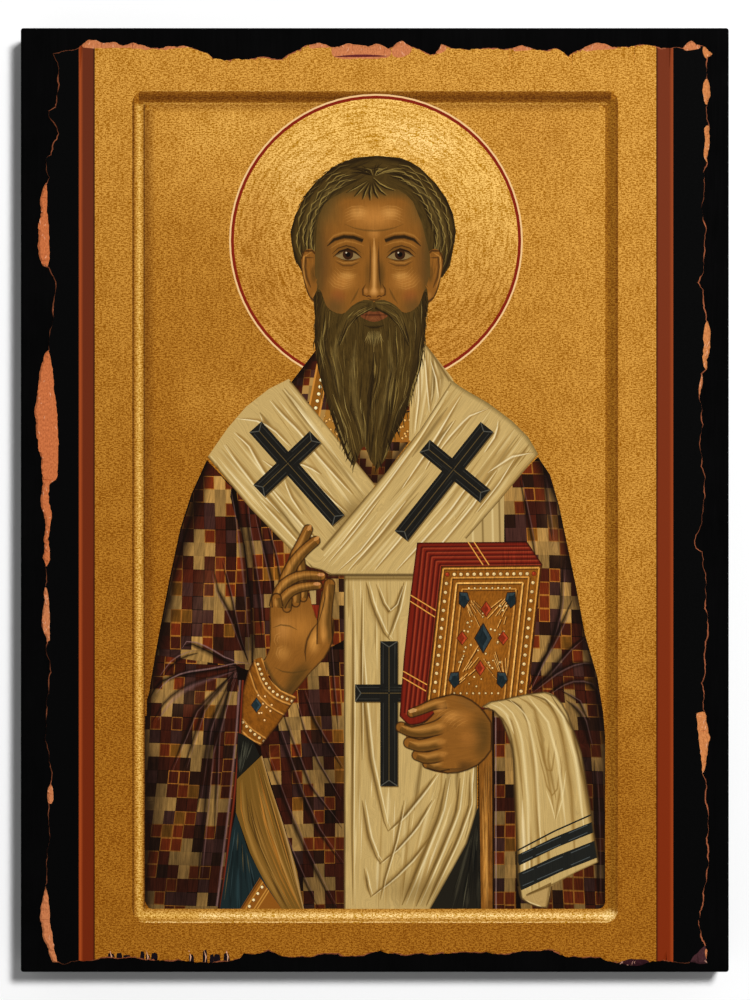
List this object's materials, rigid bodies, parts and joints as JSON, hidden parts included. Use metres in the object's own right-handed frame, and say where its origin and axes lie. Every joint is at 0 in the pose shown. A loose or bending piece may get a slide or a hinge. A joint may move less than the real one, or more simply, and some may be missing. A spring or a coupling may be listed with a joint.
{
  "type": "icon panel",
  "caption": "Flat rectangular icon panel: a black painted wooden board with a torn-edged printed paper picture of a haloed bishop on gold pasted over its face.",
  "frame": {"origin": "middle of the back, on the surface that the panel lies on", "axes": "+Z out of the picture, +Y towards the top of the picture, +X to the right of someone facing it"},
  "size_m": [0.18, 0.24, 0.0167],
  "materials": {
    "black_paint": "satin",
    "printed_paper": "satin"
  },
  "bodies": {
    "root": {"board": "black_paint", "picture_sheet": "printed_paper"}
  },
  "joints": []
}
